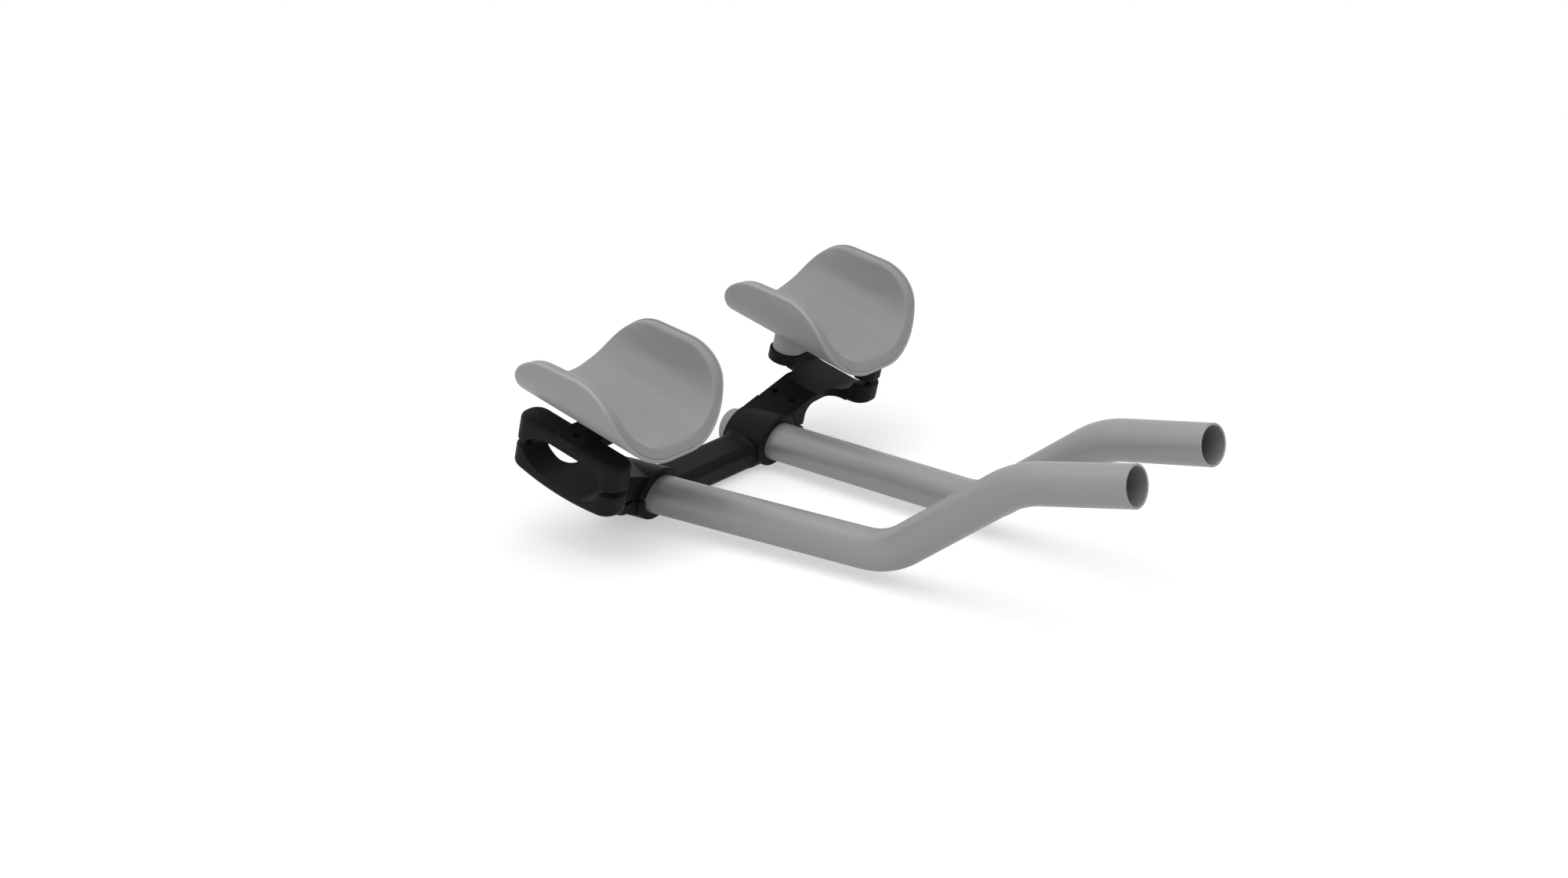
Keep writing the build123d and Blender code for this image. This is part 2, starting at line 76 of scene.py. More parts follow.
# Points and rings of a cushion's mesh.
RING_POINTS = 160  # round the rim
PATCH_POINTS = RING_POINTS // 4  # along each side of the patch that closes a face
OUTLINE_POINTS = 3000  # along the rim's outline when it is worked out
ARC_POINTS = 60  # along each rounded corner of that outline
FLARE_SHARES = (1.0, 0.75, 0.5, 0.3, 0.15)  # rings on the back of the rim, from its inner end
EDGE_ANGLES = np.radians((0, 45, 90))  # rings round the rim's edge against the cup
BAND_SHARES = (0.25, 0.5, 0.75)  # rings up the flat band of the rim
ROUND_ANGLES = np.radians(np.linspace(0, 90, 7))  # rings round the rim's inner edge
INNER_STEPS = (0.7 * MM, 1.8 * MM, 3.6 * MM)  # rings inside the rounded edge
TINY = 1e-9  # keeps a division off zero

# Stiffness of a cushion's skin while it is inflated.
SKIN_STRETCH = 12.0
SKIN_BENDING = 2.0

WHITE = (1.0, 1.0, 1.0, 1.0)
FLOOR_PALE = (0.68, 0.68, 0.68, 1.0)
PLAIN_WHITE = 1.0  # strength at which a glow shows as white

SENSOR_WIDTH = 36.0
CLIP_NEAR = 0.05
CLIP_FAR = 50.0


class ArmrestSettings(bpy.types.PropertyGroup):
    """Sizes of the armrest cushions, along and up from the middle of the cup's underside."""

    cup_middle: bpy.props.FloatVectorProperty(
        name="Cup middle",
        description="Middle of the left cup's underside",
        default=(84.1 * MM, -5.747 * MM, 22.064 * MM),
        subtype="TRANSLATION",
    )
    cup_flat: bpy.props.FloatProperty(
        name="Cup flat",
        description="Width of the cup's flat bottom",
        default=15.7 * MM,
        unit="LENGTH",
    )
    cup_radius: bpy.props.FloatProperty(
        name="Cup radius",
        description="Radius of the cup's curved sides",
        default=38.2 * MM,
        unit="LENGTH",
    )
    front_foot: bpy.props.FloatVectorProperty(
        name="Front foot",
        description="Front end of the rim at the bottom, along and up",
        default=(-52.4 * MM, 0.0),
        size=2,
        unit="LENGTH",
    )
    front_top: bpy.props.FloatVectorProperty(
        name="Front top",
        description="Front upper corner of the rim before it is rounded, along and up",
        default=(-28.5 * MM, 40.9 * MM),
        size=2,
        unit="LENGTH",
    )
    rear_top: bpy.props.FloatVectorProperty(
        name="Rear top",
        description="Rear upper corner of the rim before it is rounded, along and up",
        default=(30.7 * MM, 35.5 * MM),
        size=2,
        unit="LENGTH",
    )
    rear_foot: bpy.props.FloatVectorProperty(
        name="Rear foot",
        description="Rear end of the rim at the bottom, along and up",
        default=(38.2 * MM, 0.0),
        size=2,
        unit="LENGTH",
    )
    front_corner: bpy.props.FloatProperty(
        name="Front corner",
        description="Radius of the rim's front upper corner",
        default=29.3 * MM,
        unit="LENGTH",
    )
    rear_corner: bpy.props.FloatProperty(
        name="Rear corner",
        description="Radius of the rim's rear upper corner",
        default=26.9 * MM,
        unit="LENGTH",
    )
    back_depth: bpy.props.FloatProperty(
        name="Back depth",
        description="Back of the cushion inside the cup's outer skin",
        default=3.0 * MM,
        unit="LENGTH",
    )
    thickness: bpy.props.FloatProperty(
        name="Thickness",
        description="Thickness of the cushion before it is inflated",
        default=4.6 * MM,
        unit="LENGTH",
    )
    rim_round: bpy.props.FloatProperty(
        name="Rim round",
        description="Rounding of the rim's inner edge",
        default=1.5 * MM,
        unit="LENGTH",
    )
    flare: bpy.props.FloatProperty(
        name="Flare",
        description="How far the back of the rim turns out to the cup",
        default=0.72 * MM,
        unit="LENGTH",
    )
    back_edge: bpy.props.FloatProperty(
        name="Back edge",
        description="Rounding of the rim's edge against the cup",
        default=0.3 * MM,
        unit="LENGTH",
    )
    flare_width: bpy.props.FloatProperty(
        name="Flare width",
        description="Width of the rim that turns out to the cup",
        default=7.5 * MM,
        unit="LENGTH",
    )
    swell: bpy.props.FloatProperty(
        name="Swell",
        description="Furthest that the skin moves when it is inflated",
        default=0.8 * MM,
        unit="LENGTH",
    )
    pressure: bpy.props.FloatProperty(
        name="Pressure",
        description="Pressure of the foam under the skin",
        default=4.0,
    )
    frames: bpy.props.IntProperty(
        name="Frames",
        description="Steps of the inflation",
        default=16,
    )
    fill: bpy.props.FloatProperty(
        name="Fill",
        description="How full the cushion is",
        default=0.7,
        subtype="FACTOR",
    )


class FinishSettings(bpy.types.PropertyGroup):
    """Colours of the finishes."""

    black: bpy.props.FloatVectorProperty(
        name="Black alloy",
        description="Anodised black of the clamp set",
        default=(0.0130, 0.0130, 0.0137),
        subtype="COLOR",
    )
    worn: bpy.props.FloatVectorProperty(
        name="Worn black",
        description="Black where an edge is rubbed",
        default=(0.026, 0.026, 0.0275),
        subtype="COLOR",
    )
    tube: bpy.props.FloatVectorProperty(
        name="Tube grey",
        description="Satin grey of the extension tubes",
        default=(0.302, 0.302, 0.305),
        subtype="COLOR",
    )
    cup: bpy.props.FloatVectorProperty(
        name="Cup grey",
        description="Moulded grey of the armrest cups",
        default=(0.335, 0.335, 0.337),
        subtype="COLOR",
    )
    cushion: bpy.props.FloatVectorProperty(
        name="Cushion grey",
        description="Grey of the cushions' knitted skin",
        default=(0.262, 0.262, 0.265),
        subtype="COLOR",
    )
    strip: bpy.props.FloatVectorProperty(
        name="Strip black",
        description="Black of the hook-and-loop strips",
        default=(0.02, 0.02, 0.021),
        subtype="COLOR",
    )
    screw: bpy.props.FloatVectorProperty(
        name="Screw black",
        description="Oxide black of the screws",
        default=(0.035, 0.034, 0.034),
        subtype="COLOR",
    )
    washer: bpy.props.FloatVectorProperty(
        name="Washer zinc",
        description="Plain zinc of the washers",
        default=(0.56, 0.56, 0.57),
        subtype="COLOR",
    )


class StudioSettings(bpy.types.PropertyGroup):
    """Camera, floor and lamps."""

    camera_place: bpy.props.FloatVectorProperty(
        name="Camera place",
        description="Where the camera stands",
        default=(-1114.02 * MM, -974.92 * MM, 537.69 * MM),
        subtype="TRANSLATION",
    )
    camera_turn: bpy.props.FloatVectorProperty(
        name="Camera turn",
        description="Which way the camera looks",
        default=(math.radians(69.3604), math.radians(0.9529), math.radians(-50.8209)),
        subtype="EULER",
    )
    lens: bpy.props.FloatProperty(
        name="Lens",
        description="Focal length on a 36 mm sensor, in millimetres",
        default=65.525,
    )
    floor_size: bpy.props.FloatProperty(
        name="Floor size",
        description="Side of the square floor",
        default=24.0,
        unit="LENGTH",
    )
    floor_gap: bpy.props.FloatProperty(
        name="Floor gap",
        description="Floor below the lowest point of the extension",
        default=0.5 * MM,
        unit="LENGTH",
    )
    floor_lift: bpy.props.FloatProperty(
        name="Floor lift",
        description="Glow that brings the bare floor near the extension up to white",
        default=0.46,
    )
    floor_near: bpy.props.FloatProperty(
        name="Floor near",
        description="Distance from the extension's middle at which the floor starts to turn plain white",
        default=0.30,
        unit="LENGTH",
    )
    floor_far: bpy.props.FloatProperty(
        name="Floor far",
        description="Distance from the extension's middle past which the floor is plain white",
        default=0.70,
        unit="LENGTH",
    )
    sky: bpy.props.FloatProperty(
        name="Sky",
        description="Strength of the even light from all round",
        default=0.52,
    )
    key_place: bpy.props.FloatVectorProperty(
        name="Key place",
        description="Middle of the large lamp overhead",
        default=(-0.15, -0.25, 1.3),
        subtype="TRANSLATION",
    )
    key_size: bpy.props.FloatVectorProperty(
        name="Key size",
        description="Width and depth of the large lamp overhead",
        default=(1.4, 1.2),
        size=2,
        unit="LENGTH",
    )
    key_power: bpy.props.FloatProperty(
        name="Key power",
        description="Power of the large lamp overhead, in watts",
        default=10.0,
    )
    fill_place: bpy.props.FloatVectorProperty(
        name="Fill place",
        description="Middle of the lamp beside the camera",
        default=(-1.2, -0.6, 0.9),
        subtype="TRANSLATION",
    )
    fill_size: bpy.props.FloatVectorProperty(
        name="Fill size",
        description="Width and depth of the lamp beside the camera",
        default=(0.9, 0.9),
        size=2,
        unit="LENGTH",
    )
    fill_power: bpy.props.FloatProperty(
        name="Fill power",
        description="Power of the lamp beside the camera, in watts",
        default=3.0,
    )


def settings():
    """The three groups of settings of the open scene."""
    scene = bpy.context.scene
    return scene.armrest_settings, scene.finish_settings, scene.studio_settings


class Wire:
    """A node's output that can be used in sums, as a number can."""

    def __init__(self, finish, socket):
        self.finish = finish
        self.socket = socket

    def math(self, operation, first, second=0.0):
        """Adds a Math node."""
        return self.finish.node("ShaderNodeMath", {"operation": operation}, {0: first, 1: second})

    def __add__(self, other):
        return self.math("ADD", self, other)

    def __radd__(self, other):
        return self.math("ADD", other, self)

    def __sub__(self, other):
        return self.math("SUBTRACT", self, other)

    def __rsub__(self, other):
        return self.math("SUBTRACT", other, self)

    def __mul__(self, other):
        return self.math("MULTIPLY", self, other)

    def __rmul__(self, other):
        return self.math("MULTIPLY", other, self)

    def __truediv__(self, other):
        return self.math("DIVIDE", self, other)

    def __rtruediv__(self, other):
        return self.math("DIVIDE", other, self)

    def sine(self):
        return self.math("SINE", self)

    def size(self):
        return self.math("ABSOLUTE", self)

    def between(self, low, high):
        """Held to the range from low to high."""
        return self.math("MINIMUM", self.math("MAXIMUM", self, low), high)

    def spread(self, width):
        """A pattern from 0 to 1, moved to lie evenly about zero and stretched to that width."""
        return (self - 0.5) * width


class Finish:
    """One material, world or floor shader, and the nodes that make it."""

    def __init__(self, owner):
        self.owner = owner
        owner.use_nodes = True
        self.nodes = owner.node_tree.nodes
        self.links = owner.node_tree.links
        self.nodes.clear()

    def node(self, kind, settings=None, sockets=None, out=0):
        """Adds a node: its settings first, then its sockets. Gives back one output."""
        made = self.nodes.new(kind)
        for name, value in (settings or {}).items():
            setattr(made, name, value)
        for name, value in (sockets or {}).items():
            if isinstance(value, Wire):
                self.links.new(value.socket, made.inputs[name])
            else:
                made.inputs[name].default_value = value
        if not made.outputs:
            return None
        return Wire(self, made.outputs[out])

    def place(self):
        """Object coordinates, in metres."""
        return self.node("ShaderNodeTexCoord", out="Object")

    def noise(self, vector, feature, detail=2.0, roughness=0.5):
        """Noise from 0 to 1 with features of about that size."""
        sockets = {"Vector": vector, "Scale": 1 / feature, "Detail": detail, "Roughness": roughness}
        return self.node("ShaderNodeTexNoise", {"noise_dimensions": "3D"}, sockets, "Fac")

    def blend(self, share, first, second):
        """Colour between two colours."""
        sockets = {MIX_SHARE: share, MIX_FIRST: first, MIX_SECOND: second}
        return self.node("ShaderNodeMix", {"data_type": "RGBA"}, sockets, MIX_RESULT)

    def shades(self, share, colour, dark, light):
        """One colour, from its dark to its light shade."""
        return self.blend(share, rgba(colour, dark), rgba(colour, light))

    def part(self, vector, axis):
        """One of a vector's three numbers."""
        return self.node("ShaderNodeSeparateXYZ", None, {"Vector": vector}, axis)

    def edges(self, radius):
        """Mask that is 0 on a face and rises where the surface turns within the radius."""
        soft = self.node("ShaderNodeBevel", {"samples": 4}, {"Radius": radius})
        plain = self.node("ShaderNodeNewGeometry", out="Normal")
        sockets = {0: soft, 1: plain}
        alike = self.node("ShaderNodeVectorMath", {"operation": "DOT_PRODUCT"}, sockets, "Value")
        return (1 - alike).between(0.0, 1.0)

    def bump(self, height, depth, strength):
        """Normal roughened by a height from 0 to 1 that stands for the depth."""
        sockets = {"Strength": strength, "Distance": depth, "Height": height}
        return self.node("ShaderNodeBump", None, sockets)

    def surface(self, sockets):
        """Ends the material in a principled shader."""
        shader = self.node("ShaderNodeBsdfPrincipled", None, sockets)
        self.node("ShaderNodeOutputMaterial", None, {"Surface": shader})
        return self.owner


def rgba(colour, gain=1.0):
    """A colour property as four numbers, lightened by the gain."""
    return (colour[0] * gain, colour[1] * gain, colour[2] * gain, 1.0)


def new_finish(name):
    """An empty material of that name."""
    return Finish(bpy.data.materials.new(name))


def black_alloy(colours):
    """Bead-blasted black anodising: fine grain, faint clouds and rubbed edges."""
    finish = new_finish("black_alloy")
    place = finish.place()
    grain = finish.noise(place, feature=0.22 * MM)
    cloud = finish.noise(place, feature=16 * MM, detail=4.0)
    scuff = finish.noise(place, feature=3.5 * MM, detail=3.0)
    rub_gain = 3.0
    rubbed = (finish.edges(radius=0.7 * MM) * rub_gain * scuff).between(0.0, 1.0)
    cloudy = finish.shades(cloud, colours.black, dark=0.85, light=1.15)
    return finish.surface(
        {
            "Base Color": finish.blend(rubbed, cloudy, rgba(colours.worn)),
            "Roughness": 0.46 + cloud.spread(0.14) + grain.spread(0.10) - rubbed * 0.06,
            "Specular IOR Level": 0.06,
            "Normal": finish.bump(grain, depth=0.012 * MM, strength=0.55),
        }
    )


def tube_grey(colours):
    """Satin anodised tube: fine grain, faint clouds and drawing marks along its length."""
    finish = new_finish("grey_alloy")
    place = finish.place()
    grain = finish.noise(place, feature=0.18 * MM)
    cloud = finish.noise(place, feature=22 * MM, detail=4.0)
    stretched = {"Vector": place, "Scale": (1.0, 0.03, 1.0)}
    lengthways = finish.node("ShaderNodeMapping", {"vector_type": "POINT"}, stretched)
    drawn = finish.noise(lengthways, feature=0.5 * MM, detail=3.0)
    mark_height = 0.7
    return finish.surface(
        {
            "Base Color": finish.shades(cloud, colours.tube, dark=0.95, light=1.05),
            "Metallic": 0.25,
            "Roughness": 0.40 + cloud.spread(0.10) + drawn.spread(0.08),
            "Normal": finish.bump(grain + drawn * mark_height, depth=0.008 * MM, strength=0.5),
        }
    )


def cup_grey(colours):
    """Moulded plastic with a fine spark-eroded texture."""
    finish = new_finish("grey_plastic")
    place = finish.place()
    spark = finish.noise(place, feature=0.45 * MM, detail=3.0, roughness=0.6)
    cloud = finish.noise(place, feature=18 * MM, detail=4.0)
    return finish.surface(
        {
            "Base Color": finish.shades(cloud, colours.cup, dark=0.95, light=1.05),
            "Roughness": 0.46 + cloud.spread(0.10) + spark.spread(0.14),
            "Normal": finish.bump(spark, depth=0.03 * MM, strength=0.5),
        }
    )


def cushion_grey(colours):
    """Fine knitted skin over foam: columns of stitches that follow the cushion round."""
    finish = new_finish("grey_foam")
    place = finish.place()
    lay = finish.node("ShaderNodeAttribute", {"attribute_name": "knit"}, None, "Vector")
    stitch_width = 0.55 * MM
    stitch_height = 0.62 * MM
    loop_slant = 2.4
    column = (finish.part(lay, "X") * (math.pi / stitch_width)).sine().size()
    course = (finish.part(lay, "Y") * (2 * math.pi / stitch_height) + column * loop_slant).sine()
    stitch = column * (0.62 + course * 0.38)
    cloud = finish.noise(place, feature=14 * MM, detail=4.0)
    fibre = finish.noise(place, feature=0.3 * MM)
    tone = (stitch * 0.5 + cloud * 0.35 + fibre * 0.15).between(0.0, 1.0)
    fibre_height = 0.25
    return finish.surface(
        {
            "Base Color": finish.shades(tone, colours.cushion, dark=0.88, light=1.10),
            "Roughness": 0.62 + cloud.spread(0.12) - stitch * 0.06,
            "Sheen Weight": 0.22,
            "Sheen Roughness": 0.45,
            "Normal": finish.bump(stitch + fibre * fibre_height, depth=0.05 * MM, strength=0.55),
        }
    )


def strip_black(colours):
    """Fuzz of the hook-and-loop strips."""
    finish = new_finish("strip_fabric")
    fuzz = finish.noise(finish.place(), feature=0.35 * MM, detail=4.0, roughness=0.65)
    return finish.surface(
        {
            "Base Color": finish.shades(fuzz, colours.strip, dark=0.6, light=1.7),
            "Roughness": 0.85 + fuzz.spread(0.15),
            "Sheen Weight": 0.3,
            "Normal": finish.bump(fuzz, depth=0.15 * MM, strength=0.8),
        }
    )


def screw_black(colours):
    """Black oxide on steel, rubbed bright at the corners of the sockets."""
    finish = new_finish("black_steel")
    place = finish.place()
    grain = finish.noise(place, feature=0.15 * MM, detail=3.0)
    scuff = finish.noise(place, feature=1.2 * MM, detail=3.0)
    rub_gain = 1.6
    rubbed = (finish.edges(radius=0.25 * MM) * rub_gain * scuff).between(0.0, 1.0)
    return finish.surface(
        {
            "Base Color": finish.shades(rubbed, colours.screw, dark=1.0, light=3.0),
            "Metallic": 0.85,
            "Roughness": 0.34 + grain.spread(0.16),
            "Normal": finish.bump(grain, depth=0.006 * MM, strength=0.5),
        }
    )


def washer_zinc(colours):
    """Plain zinc plating with a faint spangle."""
    finish = new_finish("bright_steel")
    grid = {"Vector": finish.place(), "Scale": 1 / (0.9 * MM)}
    spangle = finish.node("ShaderNodeTexVoronoi", {"feature": "F1"}, grid, "Distance")
    return finish.surface(
        {
            "Base Color": finish.shades(spangle, colours.washer, dark=0.9, light=1.08),
            "Metallic": 1.0,
            "Roughness": 0.26 + spangle * 0.12,
            "Normal": finish.bump(spangle, depth=0.004 * MM, strength=0.4),
        }
    )


def dress(piece, material):
    """Gives a piece its only material."""
    piece.data.materials.clear()
    piece.data.materials.append(material)


def select_only(piece):
    """Makes one object the selected and the active one."""
    bpy.ops.object.select_all(action="DESELECT")
    piece.select_set(True)
    bpy.context.view_layer.objects.active = piece


def apply_modifier(piece, kind, **values):
    """Adds a modifier, sets it up and applies it."""
    select_only(piece)
    modifier = piece.modifiers.new(kind.title(), kind)
    for name, value in values.items():
        setattr(modifier, name, value)
    bpy.ops.object.modifier_apply(modifier=modifier.name)


def vertex_places(mesh):
    """The mesh's vertices as an array."""
    places = np.zeros(len(mesh.vertices) * 3)
    mesh.vertices.foreach_get("co", places)
    return places.reshape(-1, 3)


def set_vertex_places(mesh, places):
    """Writes the mesh's vertices back."""
    mesh.vertices.foreach_set("co", places.ravel())
    mesh.update()


def resampled(path, count):
    """The same path with evenly spaced points."""
    steps = np.linalg.norm(np.diff(path, axis=0), axis=1)
    run = np.concatenate(([0.0], np.cumsum(steps)))
    spots = np.linspace(0.0, run[-1], count)
    return np.column_stack([np.interp(spots, run, values) for values in path.T])


def corner_arc(before, corner, after, radius):
    """Points of the arc that rounds a corner."""
    inward = (before - corner) / np.linalg.norm(before - corner)
    outward = (after - corner) / np.linalg.norm(after - corner)
    bisector = (inward + outward) / np.linalg.norm(inward + outward)
    half_angle = math.acos(inward @ bisector)
    middle = corner + bisector * radius / math.sin(half_angle)
    reach = radius / math.tan(half_angle)
    spokes = np.array([corner + inward * reach, corner + outward * reach]) - middle
    angles = np.unwrap(np.arctan2(spokes[:, 1], spokes[:, 0]))
    sweep = np.linspace(angles[0], angles[1], ARC_POINTS)
    return middle + radius * np.column_stack((np.cos(sweep), np.sin(sweep)))


def rim_ring(sizes, depth):
    """The rim at a depth below the cup's outer skin, as places round and along the cup."""
    corners = (sizes.front_foot, sizes.front_top, sizes.rear_top, sizes.rear_foot)
    front_foot, front_top, rear_top, rear_foot = (np.array(corner) for corner in corners)
    front_arc = corner_arc(front_foot, front_top, rear_top, sizes.front_corner)
    rear_arc = corner_arc(front_top, rear_top, rear_foot, sizes.rear_corner)
    outline = np.vstack((front_foot, front_arc, rear_arc, rear_foot))
    along, height = resampled(outline, OUTLINE_POINTS).T
    top = np.argmax(height)
    front = np.interp(depth, height[:top], along[:top])
    rear = np.interp(-depth, -height[top:], along[top:])
    above = height > depth
    along = np.concatenate(([front], along[above], [rear]))
    height = np.concatenate(([depth], height[above], [depth]))
    half = np.column_stack((places_round(sizes, height, depth), along))
    half = np.vstack(((0.0, front), half, (0.0, rear)))
    half = resampled(half, RING_POINTS // 2 + 1)
    return np.vstack((half, half[-2:0:-1] * (-1, 1)))


def middle_radius(sizes):
    """Radius at which lengths round the cushion are measured."""
    return sizes.cup_radius - sizes.back_depth - sizes.thickness / 2


def places_round(sizes, height, depth):
    """How far round from the middle a point of that height and depth lies."""
    radius = sizes.cup_radius - depth
    turn = np.arccos(np.clip((sizes.cup_radius - height) / radius, 0.0, 1.0))
    above = np.maximum(height - sizes.cup_radius, 0.0)
    return sizes.cup_flat / 2 + turn * middle_radius(sizes) + above


def skin_spots(sizes, flat, depth, side):
    """Places in space of points given round and along the cup, at a depth below its outer skin."""
    across, rearward, upward = clamp_axes()
    half_flat = sizes.cup_flat / 2
    radius = sizes.cup_radius - depth
    past = np.maximum(np.abs(flat[:, 0]) - half_flat, 0.0)
    quarter = middle_radius(sizes) * math.pi / 2
    turn = np.minimum(past, quarter) / middle_radius(sizes)
    out = np.minimum(np.abs(flat[:, 0]), half_flat) + radius * np.sin(turn)
    height = sizes.cup_radius - radius * np.cos(turn) + np.maximum(past - quarter, 0.0)
    out = out * np.sign(flat[:, 0])
    sign = 1 if side == "left" else -1
    spots = np.array(sizes.cup_middle) * (sign, 1, 1) + np.outer(sign * out, across)
    return spots + np.outer(flat[:, 1], rearward) + np.outer(height, upward)


def drawn_in(ring, distance):
    """The ring moved inwards by a distance."""
    run = np.roll(ring, -1, axis=0) - np.roll(ring, 1, axis=0)
    run /= np.linalg.norm(run, axis=1, keepdims=True)
    return ring + distance * np.column_stack((-run[:, 1], run[:, 0]))


def rim_section(sizes):
    """Steps from the back over the rim to the front: inwards from the rim, and up from the back."""
    steps = []
    for share in FLARE_SHARES:
        eased = (1 - share) ** 2 * (1 + 2 * share)
        steps.append((sizes.flare_width * share, -sizes.flare * eased))
    edge = sizes.back_edge
    for angle in EDGE_ANGLES:
        steps.append((edge * (1 - math.sin(angle)), edge * (1 - math.cos(angle)) - sizes.flare))
    low = edge - sizes.flare
    high = sizes.thickness - sizes.rim_round
    for share in BAND_SHARES:
        steps.append((0.0, low + (high - low) * share))
    for angle in ROUND_ANGLES:
        inward = sizes.rim_round * (1 - math.cos(angle))
        steps.append((inward, high + sizes.rim_round * math.sin(angle)))
    for further in INNER_STEPS:
        steps.append((sizes.rim_round + further, sizes.thickness))
    return steps


def patch(ring):
    """Fills a ring with an even grid. Gives its inner points and the number of each grid point."""
    loop = np.roll(ring, PATCH_POINTS // 2, axis=0)
    turn = (np.arange(RING_POINTS + 1) - PATCH_POINTS // 2) % RING_POINTS
    loop = np.vstack((loop, loop[:1]))
    count = PATCH_POINTS
    spans = {
        "south": slice(0, count + 1),
        "east": slice(count, 2 * count + 1),
        "north": slice(3 * count, 2 * count - 1, -1),
        "west": slice(4 * count, 3 * count - 1, -1),
    }
    south, east, north, west = (loop[spans[name]] for name in ("south", "east", "north", "west"))
    share = np.linspace(0.0, 1.0, count + 1)
    right = share[:, None, None]
    up = share[None, :, None]
    grid = (1 - up) * south[:, None] + up * north[:, None] + (1 - right) * west[None] + right * east[None]
    west_ends = (1 - up) * south[0] + up * north[0]
    east_ends = (1 - up) * south[-1] + up * north[-1]
    grid -= (1 - right) * west_ends + right * east_ends
    number = np.zeros((count + 1, count + 1), dtype=int)
    number[:, 0] = turn[spans["south"]]
    number[-1, :] = turn[spans["east"]]
    number[:, -1] = turn[spans["north"]]
    number[0, :] = turn[spans["west"]]
    inner = grid[1:-1, 1:-1].reshape(-1, 2)
    number[1:-1, 1:-1] = RING_POINTS + np.arange(len(inner)).reshape(count - 1, count - 1)
    return inner, number


def grid_faces(number):
    """Four-sided faces between the points of a grid of numbers."""
    corners = (number[:-1, :-1], number[1:, :-1], number[1:, 1:], number[:-1, 1:])
    return np.stack(corners, axis=-1).reshape(-1, 4).tolist()


def knit_rings(sizes, section, rings):
    """Where each ring lies on the flat knit: as it is on the back, and rolled out from the front."""
    front = rim_ring(sizes, sizes.back_depth + sizes.thickness)
    steps = np.linalg.norm(np.diff(np.array(section), axis=0), axis=1)
    rolled = section[-1][0] - np.concatenate((np.cumsum(steps[::-1])[::-1], [0.0]))
    back = len(FLARE_SHARES) + 1
    return rings[:back] + [drawn_in(front, distance) for distance in rolled[back:]]


def cushion_mesh(sizes, side):
    """The cushion before it is inflated, and the numbers of the points on its back."""
    section = rim_section(sizes)
    depths = [sizes.back_depth + rise for inward, rise in section]
    rings = [drawn_in(rim_ring(sizes, depth), step[0]) for depth, step in zip(depths, section)]
    spots = [skin_spots(sizes, ring, depth, side) for ring, depth in zip(rings, depths)]
    knit = knit_rings(sizes, section, rings)
    total = len(rings) * RING_POINTS
    bands = np.arange(total).reshape(len(rings), RING_POINTS)
    faces = grid_faces(np.hstack((bands, bands[:, :1])))
    held = bands[[rise <= 0.0 for inward, rise in section]].ravel().tolist()
    for end in (0, -1):
        inner, number = patch(rings[end])
        on_ring = number < RING_POINTS
        faces += grid_faces(np.where(on_ring, number + bands[end][0], number + total - RING_POINTS))
        spots.append(skin_spots(sizes, inner, depths[end], side))
        knit.append(inner)
        if end == 0:
            held += range(total, total + len(inner))
        total += len(inner)
    mesh = bpy.data.meshes.new(f"{side}_armrest_cushion")
    mesh.from_pydata(np.vstack(spots).tolist(), [], faces)
    lay = mesh.attributes.new("knit", "FLOAT_VECTOR", "POINT")
    flat = np.vstack(knit)
    lay.data.foreach_set("vector", np.column_stack((flat, np.zeros(total))).astype(np.float32).ravel())
    return mesh, held


def inflate(piece, sizes, held):
    """Lets the foam press the skin outwards from its held back, no further than the swell."""
    scene = bpy.context.scene
    start = vertex_places(piece.data)
    back = piece.vertex_groups.new(name="held_back")
    back.add(held, 1.0, "REPLACE")
    select_only(piece)
    cloth = piece.modifiers.new("Inflate", "CLOTH")
    cloth.settings.vertex_group_mass = back.name
    cloth.settings.use_pressure = True
    cloth.settings.uniform_pressure_force = sizes.pressure
    cloth.settings.effector_weights.gravity = 0.0
    cloth.settings.tension_stiffness = SKIN_STRETCH
    cloth.settings.compression_stiffness = SKIN_STRETCH
    cloth.settings.bending_stiffness = SKIN_BENDING
    cloth.point_cache.frame_end = sizes.frames
    for step in range(1, sizes.frames + 1):
        scene.frame_set(step)
    posed = piece.evaluated_get(bpy.context.evaluated_depsgraph_get())
    moved = vertex_places(posed.data) - start
    piece.modifiers.remove(cloth)
    piece.vertex_groups.remove(back)
    scene.frame_set(1)
    reach = np.maximum(np.linalg.norm(moved, axis=1, keepdims=True), TINY)
    set_vertex_places(piece.data, start + moved * sizes.swell * np.tanh(reach / sizes.swell) / reach)


def clamp_axes():
    """Across, rearward and upward directions of the tilted clamp frame."""
    across = np.array((1.0, 0.0, 0.0))
    rearward = np.array((0.0, math.cos(CLAMP_PITCH), math.sin(CLAMP_PITCH)))
    upward = np.array((0.0, -math.sin(CLAMP_PITCH), math.cos(CLAMP_PITCH)))
    return across, rearward, upward


class EXTENSION_OT_clamp_set(bpy.types.Operator):
    """Finish the centre bridge and the bar clamps in satin black"""

    bl_idname = "extension.clamp_set"
    bl_label = "Clamp Set"
    bl_options = {"REGISTER", "UNDO"}

    def execute(self, context):
        material = black_alloy(context.scene.finish_settings)
        names = ["centre_bridge"]
        names += [f"{side}_{half}_clamp" for side in SIDES for half in ("upper", "lower")]
        for name in names:
            dress(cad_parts[name], material)
        return {"FINISHED"}


class EXTENSION_OT_tubes(bpy.types.Operator):
    """Finish the extension tubes in satin grey"""

    bl_idname = "extension.tubes"
    bl_label = "Extension Tubes"
    bl_options = {"REGISTER", "UNDO"}

    def execute(self, context):
        material = tube_grey(context.scene.finish_settings)
        for side in SIDES:
            dress(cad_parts[f"{side}_extension_tube"], material)
        return {"FINISHED"}


